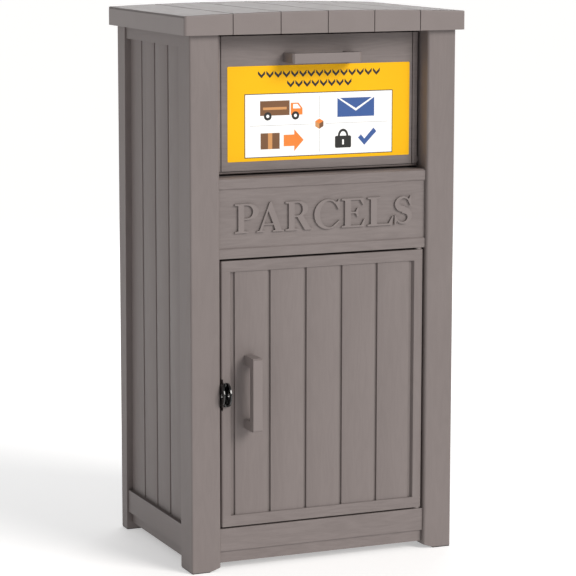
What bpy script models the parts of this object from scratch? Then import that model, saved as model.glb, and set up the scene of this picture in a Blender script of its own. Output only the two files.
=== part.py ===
"""A free-standing parcel drop box: moulded cabinet, tilting drop door above, swinging retrieval door below.

Metres, +Z up, front towards -Y. The origin is under the middle of the whole box, on the floor.
"""

import math

import bmesh
import bpy
from mathutils import Matrix, Vector

# --- driving dimensions -------------------------------------------------------------------------
GAP = 0.0003  # clearance kept between neighbouring pieces
WALL = 0.003  # wall of the moulded posts and channels

HALF_WIDTH = 0.290  # outer faces of the posts
FRONT = -0.200  # front faces of the posts
BACK = 0.226  # rear faces of the posts
POST_WIDTH = 0.063
FRONT_POST_DEPTH = 0.062
REAR_POST_DEPTH_FOOT = 0.034  # the rear posts widen a little towards the top
REAR_POST_DEPTH_TOP = 0.048
POST_BOTTOM = 0.002
POST_TOP = 1.1040
POST_OUTER_RADIUS = 0.004
POST_INNER_RADIUS = 0.006
FOOT_CHAMFER_WIDTH = 0.022
FOOT_CHAMFER_HEIGHT = 0.007
POST_INNER_X = HALF_WIDTH - POST_WIDTH  # 0.227, the clear half width between the posts

PANEL_THICKNESS = 0.005
SIDE_PLANK_RECESS = 0.0125
SIDE_RAIL_RECESS = 0.0035
SIDE_PLANK_PITCH = 0.077
SIDE_FIRST_GROOVE_Y = 0.1095  # rearmost groove between two side planks
TOP_RAIL_BOTTOM = 1.0555
LOW_RAIL_BOTTOM = 0.040
LOW_RAIL_TOP = 0.088
SKIRT_BOTTOM = 0.0155
GROOVE_WIDTH = 0.0066
GROOVE_DEPTH = 0.003

BACK_PLANK_RECESS = 0.008
BACK_PLANKS = 5

LID_HALF_WIDTH = 0.305
LID_FRONT = FRONT - 0.0125
LID_BACK = BACK + 0.013
LID_RIM_Z = 1.0816
LID_EDGE_TOP = 1.1197
LID_CROWN = 0.006
LID_SHELL = 0.004
LID_RIB = 0.0025
LID_PLANKS = 6
LID_NOTCH_WIDTH = 0.006
LID_NOTCH_DEPTH = 0.003

FACE_RECESS = 0.006  # door frame, letter panel and bottom rail sit this far behind the posts
LETTER_PANEL_BOTTOM = 0.637
LETTER_PANEL_TOP = 0.7985
LETTER_FIELD_BOTTOM = 0.6555
LETTER_FIELD_TOP = 0.777
LETTER_FIELD_RECESS = 0.003
LETTER_BASE = 0.687
CAP_HEIGHT = 0.0585
LETTER_UNIT = 0.0620  # one unit of letter width
LETTER_MIDDLE = 0.002
LETTER_PROUD = 0.0012  # how far the letters stand in front of the panel's edges
CHANNEL_DEPTH = 0.056  # how far the letter panel and bottom rail reach back between the posts

DOOR_HALF_WIDTH = 0.2235
DOOR_BOTTOM = 0.090
DOOR_TOP = 0.6325
DOOR_FOOT_GAP = 0.0035
DOOR_THICKNESS = 0.022
DOOR_SKIN = 0.0065
DOOR_GROOVE_DEPTH = 0.004
DOOR_FLANGE = 0.015
DOOR_PANEL_HALF_WIDTH = 0.2035
DOOR_PANEL_BOTTOM = 0.1125
DOOR_PANEL_TOP = 0.6105
DOOR_PANEL_RECESS = 0.0028
DOOR_PLANKS = 5
DOOR_PLANK_PITCH = 0.079
DOOR_PLANKS_HALF_WIDTH = 0.1928  # the outer edges of the outer planks
DOOR_PIVOT_INSET = 0.0085
DOOR_EDGE_RADIUS = 0.004
DOOR_PIVOT_X = DOOR_HALF_WIDTH - DOOR_PIVOT_INSET
DOOR_FACE_Y = FRONT + FACE_RECESS
DOOR_PIVOT_Y = DOOR_FACE_Y + DOOR_PIVOT_INSET

DROP_HALF_WIDTH = 0.2215
DROP_BOTTOM = 0.802
DROP_TOP = 1.076
DROP_RECESS = 0.037
DROP_FACE_Y = FRONT + DROP_RECESS
DROP_PIVOT_Y = DROP_FACE_Y + DOOR_THICKNESS / 2
DROP_PIVOT_Z = 0.815
DROP_LIP = 0.005  # height of the lip under the groove at the drop door's foot
TRAY_HALF_WIDTH = 0.205
TRAY_LENGTH = 0.210
TRAY_ANGLE = math.radians(50)  # slope of the tray below level while the drop door is shut
TRAY_SHEET = 0.003
CHEEK_HEIGHT = 0.175

HANDLE_LENGTH = 0.150
HANDLE_WIDTH = 0.020
HANDLE_BAR = 0.018
HANDLE_LEG = 0.020
HANDLE_REACH = 0.048 - 0.0003
HANDLE_X = -0.1625
HANDLE_Z = 0.3645
DROP_HANDLE_Z = 1.0315

LABEL_WIDTH = 0.400
LABEL_HEIGHT = 0.190
LABEL_X = 0.0035
LABEL_Z = 0.921
LABEL_SHEET = 0.0006

EYE_Z = 0.362
EYE_HEIGHT = 0.049
EYE_REACH = 0.023
EYE_SHEET = 0.0032
EYE_HOLE_RADIUS = 0.005
EYE_NOTCH = 0.004

PIN_RADIUS = 0.004
BUSH_BORE = PIN_RADIUS + 0.00005
BUSH_RADIUS = 0.006
BUSH_FLANGE_RADIUS = 0.0075
BUSH_BARREL = 0.007
DROP_BUSH_FLANGE = 0.0035
FLOOR_TOP = 0.066
FLOOR_SHEET = 0.004

RESIN = ("resin_taupe", (0.262, 0.232, 0.222), 0.55, 0.0)
RESIN_INNER = ("resin_inner", (0.20, 0.18, 0.172), 0.6, 0.0)
BUSH_PLASTIC = ("bush_plastic", (0.262, 0.232, 0.222), 0.5, 0.0)
BLACK = ("black_enamel", (0.006, 0.006, 0.006), 0.25, 0.0)
STEEL = ("zinc_steel", (0.52, 0.53, 0.54), 0.35, 1.0)
LABEL_VINYL = ("label_vinyl", (1.0, 0.57, 0.012), 0.35, 0.0)
PAD_RUBBER = ("pad_plastic", (0.03, 0.03, 0.03), 0.7, 0.0)


# --- helpers ------------------------------------------------------------------------------------
def clear_scene():
    for item in list(bpy.data.objects):
        bpy.data.objects.remove(item, do_unlink=True)


def material(spec):
    name, colour, roughness, metallic = spec
    found = bpy.data.materials.get(name)
    if found:
        return found
    made = bpy.data.materials.new(name)
    made.use_nodes = True
    shader = made.node_tree.nodes["Principled BSDF"]
    shader.inputs["Base Color"].default_value = (*colour, 1.0)
    shader.inputs["Roughness"].default_value = roughness
    shader.inputs["Metallic"].default_value = metallic
    return made


def from_bmesh(mesh, name, spec):
    bmesh.ops.recalc_face_normals(mesh, faces=mesh.faces[:])
    data = bpy.data.meshes.new(name)
    mesh.to_mesh(data)
    mesh.free()
    data.materials.append(material(spec))
    made = bpy.data.objects.new(name, data)
    bpy.context.scene.collection.objects.link(made)
    return made


def prism(name, outline, axis, low, high, spec=RESIN):
    """A solid whose outline, in the other two axes in X, Y, Z order, runs from low to high along axis."""
    others = [index for index in range(3) if index != axis]
    mesh = bmesh.new()
    rings = []
    for level in (low, high):
        ring = []
        for first, second in outline:
            point = [0.0, 0.0, 0.0]
            point[axis] = level
            point[others[0]] = first
            point[others[1]] = second
            ring.append(mesh.verts.new(point))
        rings.append(ring)
    mesh.faces.new(rings[0])
    mesh.faces.new(rings[1])
    count = len(outline)
    for index in range(count):
        after = (index + 1) % count
        mesh.faces.new((rings[0][index], rings[0][after], rings[1][after], rings[1][index]))
    return from_bmesh(mesh, name, spec)


def block(name, x, y, z, spec=RESIN):
    """A box between two limits along each axis."""
    return prism(name, [(x[0], y[0]), (x[1], y[0]), (x[1], y[1]), (x[0], y[1])], 2, z[0], z[1], spec)


def combine(target, tool, operation):
    """Joins or cuts target with tool, which is used up."""
    step = target.modifiers.new("step", "BOOLEAN")
    step.operation = operation
    step.solver = "EXACT"
    step.object = tool
    graph = bpy.context.evaluated_depsgraph_get()
    result = bpy.data.meshes.new_from_object(target.evaluated_get(graph))
    target.modifiers.clear()
    target.data = result
    bpy.data.objects.remove(tool, do_unlink=True)
    return target


def add(target, tool):
    return combine(target, tool, "UNION")


def cut(target, tool):
    return combine(target, tool, "DIFFERENCE")


def round_edges(item, chosen, width, segments=3):
    """Rounds the edges for which chosen(first corner, second corner) is true."""
    mesh = bmesh.new()
    mesh.from_mesh(item.data)
    edges = [edge for edge in mesh.edges if chosen(edge.verts[0].co, edge.verts[1].co)]
    bmesh.ops.bevel(mesh, geom=edges, offset=width, segments=segments, profile=0.5, affect="EDGES")
    mesh.to_mesh(item.data)
    mesh.free()
    return item


def arc(centre, radii, start, end, steps):
    """Points along an ellipse from one angle in degrees to another, both ends included."""
    points = []
    for step in range(steps + 1):
        angle = math.radians(start + (end - start) * step / steps)
        points.append((centre[0] + radii[0] * math.cos(angle), centre[1] + radii[1] * math.sin(angle)))
    return points


def turned(name, profile, axis, origin, spec, sides=24):
    """A solid of revolution: profile holds (distance along axis, radius) from end to end."""
    mesh = bmesh.new()
    others = [index for index in range(3) if index != axis]
    rings = []
    for along, radius in profile:
        ring = []
        for side in range(sides):
            angle = 2 * math.pi * side / sides
            point = list(origin)
            point[axis] += along
            point[others[0]] += radius * math.cos(angle)
            point[others[1]] += radius * math.sin(angle)
            ring.append(mesh.verts.new(point))
        rings.append(ring)
    mesh.faces.new(rings[0])
    mesh.faces.new(rings[-1])
    for lower, upper in zip(rings, rings[1:]):
        for side in range(sides):
            after = (side + 1) % sides
            mesh.faces.new((lower[side], lower[after], upper[after], upper[side]))
    made = from_bmesh(mesh, name, spec)
    made.data.shade_smooth()
    made.data.set_sharp_from_angle(angle=math.radians(35))
    return made


def rod(name, axis, origin, length, radius, spec=STEEL, sides=24):
    """A plain round bar that starts at origin and runs length along axis."""
    return turned(name, [(0, radius), (length, radius)], axis, origin, spec, sides)


def move_origin(item, point):
    """Puts the object's origin at point without moving its shape."""
    item.data.transform(Matrix.Translation(-Vector(point)))
    item.location = point


def v_groove(centre, face, low, high, towards, width, depth):
    """A V-shaped cutter, width wide at a face at right angles to Y, running along Z."""
    outside = face - towards * depth
    root = face + towards * depth
    points = [(centre - width, outside), (centre + width, outside), (centre, root)]
    return prism("groove", points, 2, low, high)


def plank_groove(axis, centre, face, low, high, towards, depth=GROOVE_DEPTH):
    """A cutter for the flat channel between two planks, on a face at right angles to X or Y."""
    outside = face - towards * 0.005
    floor = face + towards * depth
    mouth = GROOVE_WIDTH / 2
    root = mouth - 0.0004
    points = [(centre - mouth, outside), (centre + mouth, outside)]
    points += [(centre + mouth, face), (centre + root, floor), (centre - root, floor), (centre - mouth, face)]
    if axis == 0:
        points = [(across, along) for along, across in points]
    return prism("groove", points, 2, low, high)


# --- cabinet ------------------------------------------------------------------------------------
def rear_post_front(height):
    """Y of a rear post's forward face at a height."""
    share = height / POST_TOP
    return BACK - (REAR_POST_DEPTH_FOOT + (REAR_POST_DEPTH_TOP - REAR_POST_DEPTH_FOOT) * share)


def front_post(side, name):
    outline = [
        (side * HALF_WIDTH, POST_BOTTOM),
        (side * (POST_INNER_X + FOOT_CHAMFER_WIDTH), POST_BOTTOM),
        (side * POST_INNER_X, POST_BOTTOM + FOOT_CHAMFER_HEIGHT),
        (side * POST_INNER_X, POST_TOP),
        (side * HALF_WIDTH, POST_TOP),
    ]
    post = prism(name, outline, 1, FRONT, FRONT + FRONT_POST_DEPTH)

    def front_upright(first, second):
        upright = abs(first.z - second.z) > 0.5
        return upright and first.y < FRONT + GAP

    round_edges(post, lambda a, b: front_upright(a, b) and abs(a.x) > 0.28, POST_OUTER_RADIUS)
    round_edges(post, lambda a, b: front_upright(a, b) and abs(a.x) < 0.23, POST_INNER_RADIUS)
    inner = sorted((side * (HALF_WIDTH - WALL), side * (POST_INNER_X + WALL)))
    depth = (FRONT + WALL, FRONT + FRONT_POST_DEPTH - WALL)
    cut(post, block("bore", inner, depth, (-0.01, POST_TOP + 0.01)))
    return post


def rear_post(side, name):
    foot_y = rear_post_front(POST_BOTTOM)
    top_y = rear_post_front(POST_TOP)
    outline = [(foot_y, POST_BOTTOM), (BACK, POST_BOTTOM), (BACK, POST_TOP), (top_y, POST_TOP)]
    span = sorted((side * HALF_WIDTH, side * POST_INNER_X))
    post = prism(name, outline, 0, span[0], span[1])

    def outer_rear_upright(first, second):
        upright = abs(first.z - second.z) > 0.5
        return upright and first.y > BACK - GAP and abs(first.x) > 0.28

    round_edges(post, outer_rear_upright, POST_OUTER_RADIUS)
    inner = sorted((side * (HALF_WIDTH - WALL), side * (POST_INNER_X + WALL)))
    depth = (rear_post_front(POST_BOTTOM) + WALL, BACK - WALL)
    cut(post, block("bore", inner, depth, (-0.01, POST_TOP + 0.01)))
    return post


def foot_pad(side, front, name):
    """A plug pushed into the open foot of a post, with a thin sole that meets the floor."""
    sole_x = sorted((side * (HALF_WIDTH - 0.0015), side * (POST_INNER_X + FOOT_CHAMFER_WIDTH + 0.001)))
    plug_x = sorted((side * (HALF_WIDTH - WALL - GAP), side * (POST_INNER_X + WALL + GAP)))
    if front:
        post_y = (FRONT, FRONT + FRONT_POST_DEPTH)
    else:
        post_y = (rear_post_front(POST_BOTTOM), BACK)
    sole_y = (post_y[0] + 0.0015, post_y[1] - 0.0015)
    plug_y = (post_y[0] + WALL + GAP, post_y[1] - WALL - GAP)
    sole = block(name, sole_x, sole_y, (0.0, POST_BOTTOM - GAP), PAD_RUBBER)
    neck = block("neck", (sole_x[0] + 0.006, sole_x[1] - 0.006), plug_y, (0.0005, 0.013), PAD_RUBBER)
    plug = block("plug", plug_x, plug_y, (0.0105, 0.018), PAD_RUBBER)
    add(sole, neck)
    return add(sole, plug)


def side_panel(side, name):
    """Plank panel between a front and a rear post, with its top rail, low rail and set-back skirt."""
    front_y = FRONT + FRONT_POST_DEPTH + GAP
    lift = 2 * GAP

    def sheet(part, outer, inner, low, high):
        back_low = rear_post_front(low) - lift
        back_high = rear_post_front(high) - lift
        outline = [(front_y, low), (back_low, low), (back_high, high), (front_y, high)]
        span = sorted((side * (HALF_WIDTH - outer), side * (HALF_WIDTH - inner)))
        return prism(part, outline, 0, span[0], span[1])

    inner = SIDE_PLANK_RECESS + PANEL_THICKNESS
    panel = sheet(name, SIDE_PLANK_RECESS, inner, SKIRT_BOTTOM, POST_TOP)
    plank_face = side * (HALF_WIDTH - SIDE_PLANK_RECESS)
    groove_y = SIDE_FIRST_GROOVE_Y
    while groove_y > front_y + GROOVE_WIDTH:
        cut(panel, plank_groove(0, groove_y, plank_face, LOW_RAIL_TOP, TOP_RAIL_BOTTOM, -side))
        groove_y -= SIDE_PLANK_PITCH
    overlap = SIDE_PLANK_RECESS + PANEL_THICKNESS / 2
    add(panel, sheet("rail", SIDE_RAIL_RECESS, overlap, TOP_RAIL_BOTTOM, POST_TOP - 0.0005))
    add(panel, sheet("rail", SIDE_RAIL_RECESS, overlap, LOW_RAIL_BOTTOM, LOW_RAIL_TOP))
    return panel


def back_panel():
    half = POST_INNER_X - GAP
    face = BACK - BACK_PLANK_RECESS
    inner = face - PANEL_THICKNESS
    panel = block("back_panel", (-half, half), (inner, face), (SKIRT_BOTTOM, POST_TOP - 0.0005))
    pitch = 2 * half / BACK_PLANKS
    for number in range(1, BACK_PLANKS):
        groove_x = -half + number * pitch
        cut(panel, plank_groove(1, groove_x, face, LOW_RAIL_TOP, TOP_RAIL_BOTTOM, -1))
    middle = face - PANEL_THICKNESS / 2
    outer = BACK - SIDE_RAIL_RECESS
    width = (-half + GAP, half - GAP)
    add(panel, block("rail", width, (middle, outer), (TOP_RAIL_BOTTOM, POST_TOP - 0.001)))
    add(panel, block("rail", width, (middle, outer), (LOW_RAIL_BOTTOM, LOW_RAIL_TOP)))
    return panel


def floor_panel():
    wide = HALF_WIDTH - SIDE_PLANK_RECESS - PANEL_THICKNESS - GAP
    narrow = POST_INNER_X - 2 * GAP
    front_y = FRONT + FRONT_POST_DEPTH + GAP
    notch_y = rear_post_front(FLOOR_TOP) - 2 * GAP
    back_y = BACK - BACK_PLANK_RECESS - PANEL_THICKNESS - GAP
    outline = [
        (-wide, front_y),
        (wide, front_y),
        (wide, notch_y),
        (narrow, notch_y),
        (narrow, back_y),
        (-narrow, back_y),
        (-narrow, notch_y),
        (-wide, notch_y),
    ]
    floor = prism("floor_panel", outline, 2, FLOOR_TOP - FLOOR_SHEET, FLOOR_TOP, RESIN_INNER)
    for rib_y in (-0.06, 0.03, 0.12):
        rib = block("rib", (-wide + 0.01, wide - 0.01), (rib_y, rib_y + WALL), (0.040, FLOOR_TOP - 0.003))
        add(floor, rib)
    return floor


def lid_top(x):
    return LID_EDGE_TOP + LID_CROWN * (1 - (x / LID_HALF_WIDTH) ** 2)


def lid():
    """Crowned open-bottomed shell scored into planks, with ribs that rest on the posts."""
    pitch = 2 * LID_HALF_WIDTH / LID_PLANKS
    outline = [(LID_HALF_WIDTH, LID_RIM_Z), (LID_HALF_WIDTH, lid_top(LID_HALF_WIDTH))]
    for plank in reversed(range(LID_PLANKS)):
        low_x = -LID_HALF_WIDTH + plank * pitch
        high_x = low_x + pitch
        inset_high = LID_NOTCH_WIDTH / 2 if plank < LID_PLANKS - 1 else 0
        inset_low = LID_NOTCH_WIDTH / 2 if plank > 0 else 0
        if inset_high:
            outline.append((high_x - inset_high, lid_top(high_x)))
        middle = (low_x + high_x) / 2
        outline.append((middle, lid_top(middle)))
        if inset_low:
            outline.append((low_x + inset_low, lid_top(low_x)))
            outline.append((low_x, lid_top(low_x) - LID_NOTCH_DEPTH))
    outline.append((-LID_HALF_WIDTH, lid_top(-LID_HALF_WIDTH)))
    outline.append((-LID_HALF_WIDTH, LID_RIM_Z))
    top = prism("lid", outline, 1, LID_FRONT, LID_BACK)
    for number in range(1, LID_PLANKS):
        x = -LID_HALF_WIDTH + number * pitch
        for face, towards in ((LID_FRONT, 1), (LID_BACK, -1)):
            cut(top, v_groove(x, face, LID_RIM_Z - 0.01, LID_EDGE_TOP + 0.02, towards, 0.002, 0.002))
    inner_x = LID_HALF_WIDTH - LID_SHELL
    ceiling = LID_EDGE_TOP - LID_SHELL
    inner_y = (LID_FRONT + LID_SHELL, LID_BACK - LID_SHELL)
    cut(top, block("hollow", (-inner_x, inner_x), inner_y, (1.05, ceiling)))
    bite = 0.001
    rib_z = (POST_TOP + GAP, ceiling + bite)
    for number in range(1, LID_PLANKS):
        x = -LID_HALF_WIDTH + number * pitch
        add(top, block("rib", (x, x + LID_RIB), (inner_y[0] - bite, inner_y[1] + bite), rib_z))
    for y in (FRONT + FRONT_POST_DEPTH / 2, BACK - REAR_POST_DEPTH_TOP / 2):
        add(top, block("rib", (-inner_x - bite, inner_x + bite), (y, y + LID_RIB), rib_z))
    return top


def glyph_outlines():
    """Outlines of the raised capitals on a cap height of 1: (loops, width, space after)."""
    upright_foot = [(0, 0), (0.46, 0), (0.46, 0.045), (0.32, 0.07)]
    upright_back = [(0, 1.0), (0, 0.955), (0.12, 0.93), (0.12, 0.07), (0, 0.045)]
    p_outer = upright_foot + arc((0.46, 0.725), (0.37, 0.275), -90, 90, 10) + upright_back
    p_outer.insert(4, (0.32, 0.45))
    p_inner = [(0.32, 0.50)] + arc((0.42, 0.725), (0.21, 0.225), -90, 90, 8) + [(0.32, 0.95)]
    a_outer = [(0, 0), (0.28, 0), (0.28, 0.04), (0.19, 0.06), (0.246, 0.24), (0.593, 0.24), (0.655, 0.06)]
    a_outer += [(0.56, 0.04), (0.56, 0), (0.955, 0), (0.955, 0.04), (0.87, 0.06), (0.52, 1.02)]
    a_outer += [(0.46, 1.02), (0.10, 0.06), (0, 0.04)]
    a_inner = [(0.262, 0.29), (0.575, 0.29), (0.41, 0.72)]
    r_outer = [(0, 0), (0.44, 0), (0.44, 0.04), (0.32, 0.065), (0.32, 0.46), (0.42, 0.46), (0.68, 0)]
    r_outer += [(0.96, 0), (0.96, 0.04), (0.88, 0.06), (0.62, 0.49)]
    r_outer += arc((0.46, 0.74), (0.34, 0.26), -58, 90, 8) + upright_back
    r_inner = [(0.32, 0.51)] + arc((0.43, 0.73), (0.18, 0.22), -90, 90, 8) + [(0.32, 0.95)]
    c_outer = [(0.86, 0.66), (0.90, 0.66), (0.90, 1.0), (0.865, 1.0), (0.835, 0.93)]
    c_outer += arc((0.48, 0.5), (0.48, 0.52), 52, 308, 16) + [(0.92, 0.24), (0.885, 0.27)]
    c_outer += arc((0.53, 0.5), (0.33, 0.465), 312, 48, 14)
    e_outer = [(0, 0), (0.80, 0), (0.845, 0.26), (0.80, 0.26), (0.70, 0.055), (0.33, 0.055), (0.33, 0.48)]
    e_outer += [(0.50, 0.48), (0.56, 0.36), (0.60, 0.36), (0.60, 0.66), (0.56, 0.66), (0.50, 0.53)]
    e_outer += [(0.33, 0.53), (0.33, 0.945), (0.66, 0.945), (0.76, 0.77), (0.80, 0.77), (0.775, 1.0)]
    e_outer += upright_back
    l_outer = [(0, 0), (0.88, 0), (0.94, 0.30), (0.895, 0.30), (0.76, 0.06), (0.34, 0.06), (0.34, 0.935)]
    l_outer += [(0.47, 0.96), (0.47, 1.0)] + upright_back
    return [
        ([p_outer, p_inner], 0.83, -0.075),
        ([a_outer, a_inner], 0.955, 0.05),
        ([r_outer, r_inner], 0.96, 0.055),
        ([c_outer], 0.92, 0.055),
        ([e_outer], 0.845, 0.085),
        ([l_outer], 0.94, 0.0),
        ([s_outline()], 0.69, 0.0),
    ]


def s_outline():
    """The letter S as a band that swells along its spine, with an upright barb at each end."""
    spine = arc((0.355, 0.745), (0.225, 0.205), 35, 270, 12)
    spine += arc((0.345, 0.275), (0.245, 0.225), 84, -145, 12)
    right = []
    left = []
    last = len(spine) - 1
    for index, (x, y) in enumerate(spine):
        before = spine[max(index - 1, 0)]
        after = spine[min(index + 1, last)]
        run = Vector((after[0] - before[0], after[1] - before[1])).normalized()
        half = 0.025 + 0.085 * math.sin(math.pi * index / last) ** 2
        right.append((x + run.y * half, y - run.x * half))
        left.append((x - run.y * half, y + run.x * half))
    start_barb = [(0.605, 0.66), (0.64, 0.66), (0.64, 1.0), (0.61, 1.0)]
    end_barb = [(0.075, 0.33), (0.04, 0.33), (0.04, 0.0), (0.07, 0.0)]
    return right + end_barb + left[::-1] + start_barb


def raised_letter(loops, left, base, back_y, front_y):
    """One letter as a solid standing up in the XZ plane between two depths."""
    curve = bpy.data.curves.new("letter", "CURVE")
    curve.dimensions = "2D"
    curve.fill_mode = "BOTH"
    curve.extrude = (back_y - front_y) / 2
    for loop in loops:
        spline = curve.splines.new("POLY")
        spline.points.add(len(loop) - 1)
        for point, (x, z) in zip(spline.points, loop):
            point.co = (x * LETTER_UNIT, z * CAP_HEIGHT, 0, 1)
        spline.use_cyclic_u = True
    letter = bpy.data.objects.new("letter", curve)
    bpy.context.scene.collection.objects.link(letter)
    graph = bpy.context.evaluated_depsgraph_get()
    data = bpy.data.meshes.new_from_object(letter.evaluated_get(graph))
    bpy.data.objects.remove(letter, do_unlink=True)
    mesh = bmesh.new()
    mesh.from_mesh(data)
    bmesh.ops.remove_doubles(mesh, verts=mesh.verts[:], dist=0.00001)
    place = Matrix.Translation((left, (back_y + front_y) / 2, base)) @ Matrix.Rotation(math.pi / 2, 4, "X")
    bmesh.ops.transform(mesh, matrix=place, verts=mesh.verts[:])
    return from_bmesh(mesh, "letter", RESIN)


def letter_panel():
    """Channel between the posts, between the two doors, with the word PARCELS raised on its field."""
    half = POST_INNER_X - GAP
    face = FRONT + FACE_RECESS
    back = face + CHANNEL_DEPTH
    outline = [
        (face, LETTER_PANEL_BOTTOM),
        (back, LETTER_PANEL_BOTTOM),
        (back, LETTER_PANEL_BOTTOM + WALL),
        (face + LETTER_FIELD_RECESS + WALL, LETTER_PANEL_BOTTOM + WALL),
        (face + LETTER_FIELD_RECESS + WALL, LETTER_PANEL_TOP - WALL),
        (back, LETTER_PANEL_TOP - WALL),
        (back, LETTER_PANEL_TOP),
        (face + 0.004, LETTER_PANEL_TOP),
        (face, LETTER_PANEL_TOP - 0.003),
        (face, LETTER_FIELD_TOP),
        (face + LETTER_FIELD_RECESS, LETTER_FIELD_TOP - LETTER_FIELD_RECESS),
        (face + LETTER_FIELD_RECESS, LETTER_FIELD_BOTTOM + LETTER_FIELD_RECESS),
        (face, LETTER_FIELD_BOTTOM),
    ]
    panel = prism("letter_panel", outline, 0, -half, half)
    letters = glyph_outlines()
    total = sum(width + space for _, width, space in letters) * LETTER_UNIT
    left = LETTER_MIDDLE - total / 2
    for loops, width, space in letters:
        sunk = face + LETTER_FIELD_RECESS + 0.002
        add(panel, raised_letter(loops, left, LETTER_BASE, sunk, face - LETTER_PROUD))
        left += (width + space) * LETTER_UNIT
    bore = rod("bore", 2, (DOOR_PIVOT_X, DOOR_PIVOT_Y, LETTER_PANEL_BOTTOM - 0.01), 0.03, BUSH_RADIUS + GAP)
    return cut(panel, bore)


def bottom_rail():
    half = POST_INNER_X - GAP
    face = FRONT + FACE_RECESS
    back = face + CHANNEL_DEPTH
    top = DOOR_BOTTOM - DOOR_FOOT_GAP
    skirt = face + 0.005
    outline = [
        (face, LOW_RAIL_BOTTOM),
        (skirt, LOW_RAIL_BOTTOM),
        (skirt, SKIRT_BOTTOM),
        (skirt + WALL, SKIRT_BOTTOM),
        (skirt + WALL, top - WALL),
        (back, top - WALL),
        (back, top),
        (face, top),
    ]
    rail = prism("bottom_rail", outline, 0, -half, half)
    bore = rod("bore", 2, (DOOR_PIVOT_X, DOOR_PIVOT_Y, top - 0.02), 0.03, BUSH_RADIUS + GAP)
    return cut(rail, bore)


def bush(name, axis, origin, inwards, flange):
    """Flanged bearing bush: the flange fills the gap beside the wall and the barrel runs through it."""
    length = flange + BUSH_BARREL
    profile = [(0, BUSH_FLANGE_RADIUS), (flange, BUSH_FLANGE_RADIUS)]
    profile += [(flange, BUSH_RADIUS), (length, BUSH_RADIUS)]
    scaled = [(along * inwards, radius) for along, radius in profile]
    made = turned(name, scaled, axis, origin, BUSH_PLASTIC)
    start = list(origin)
    start[axis] -= 0.005
    if inwards < 0:
        start[axis] -= length
    return cut(made, rod("bore", axis, start, length + 0.01, BUSH_BORE))


def screw(name, axis, origin, direction, length=0.012, radius=0.0019, head=0.0038):
    """Pan-head screw with a cross recess: origin is under the head and the shank runs along direction."""
    height = 0.0024
    profile = [(-height, head * 0.55), (-height * 0.75, head * 0.85), (-height * 0.35, head), (0, head)]
    profile += [(0, radius), (length * 0.8, radius), (length, radius * 0.3)]
    made = turned(name, [(along * direction, size) for along, size in profile], axis, origin, STEEL, 16)
    others = [index for index in range(3) if index != axis]
    for long_axis in others:
        low = [0.0, 0.0, 0.0]
        high = [0.0, 0.0, 0.0]
        for index in range(3):
            reach = 0.00045
            if index == long_axis:
                reach = head * 0.5
            low[index] = origin[index] - reach
            high[index] = origin[index] + reach
        outside = origin[axis] - direction * (height + 0.001)
        floor = origin[axis] - direction * height * 0.45
        low[axis] = min(outside, floor)
        high[axis] = max(outside, floor)
        slot = block("slot", (low[0], high[0]), (low[1], high[1]), (low[2], high[2]))
        cut(made, slot)
    return made


def drill(item, axis, origin, radius, reach=0.012):
    """A round hole through item, centred on origin and reach long each way."""
    start = list(origin)
    start[axis] -= reach
    return cut(item, rod("drill", axis, start, 2 * reach, radius, sides=16))


def eye_outline(base_y, tip_y, height):
    """D-shaped outline in the YZ plane, flat on its base and rounded towards the tip."""
    reach = base_y - tip_y
    return arc((base_y, EYE_Z), (-reach, height / 2), -90, 90, 14)


def frame_eye():
    """Padlock eye screwed flat to the inner face of the left front post, through the door's notch."""
    low_x = -POST_INNER_X + GAP
    high_x = low_x + EYE_SHEET
    tip = DOOR_FACE_Y - EYE_REACH
    outline = eye_outline(DOOR_FACE_Y + 0.001, tip, EYE_HEIGHT)
    eye = prism("frame_lock_eye", outline, 0, low_x, high_x, BLACK)
    tail = block("tail", (low_x, high_x), (DOOR_FACE_Y, -0.150), (EYE_Z - 0.018, EYE_Z + 0.018), BLACK)
    add(eye, tail)
    drill(eye, 0, (low_x, DOOR_FACE_Y - 0.012, EYE_Z), EYE_HOLE_RADIUS)
    for rise in (-0.010, 0.010):
        drill(eye, 0, (low_x, -0.160, EYE_Z + rise), 0.0022)
    return eye


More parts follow.
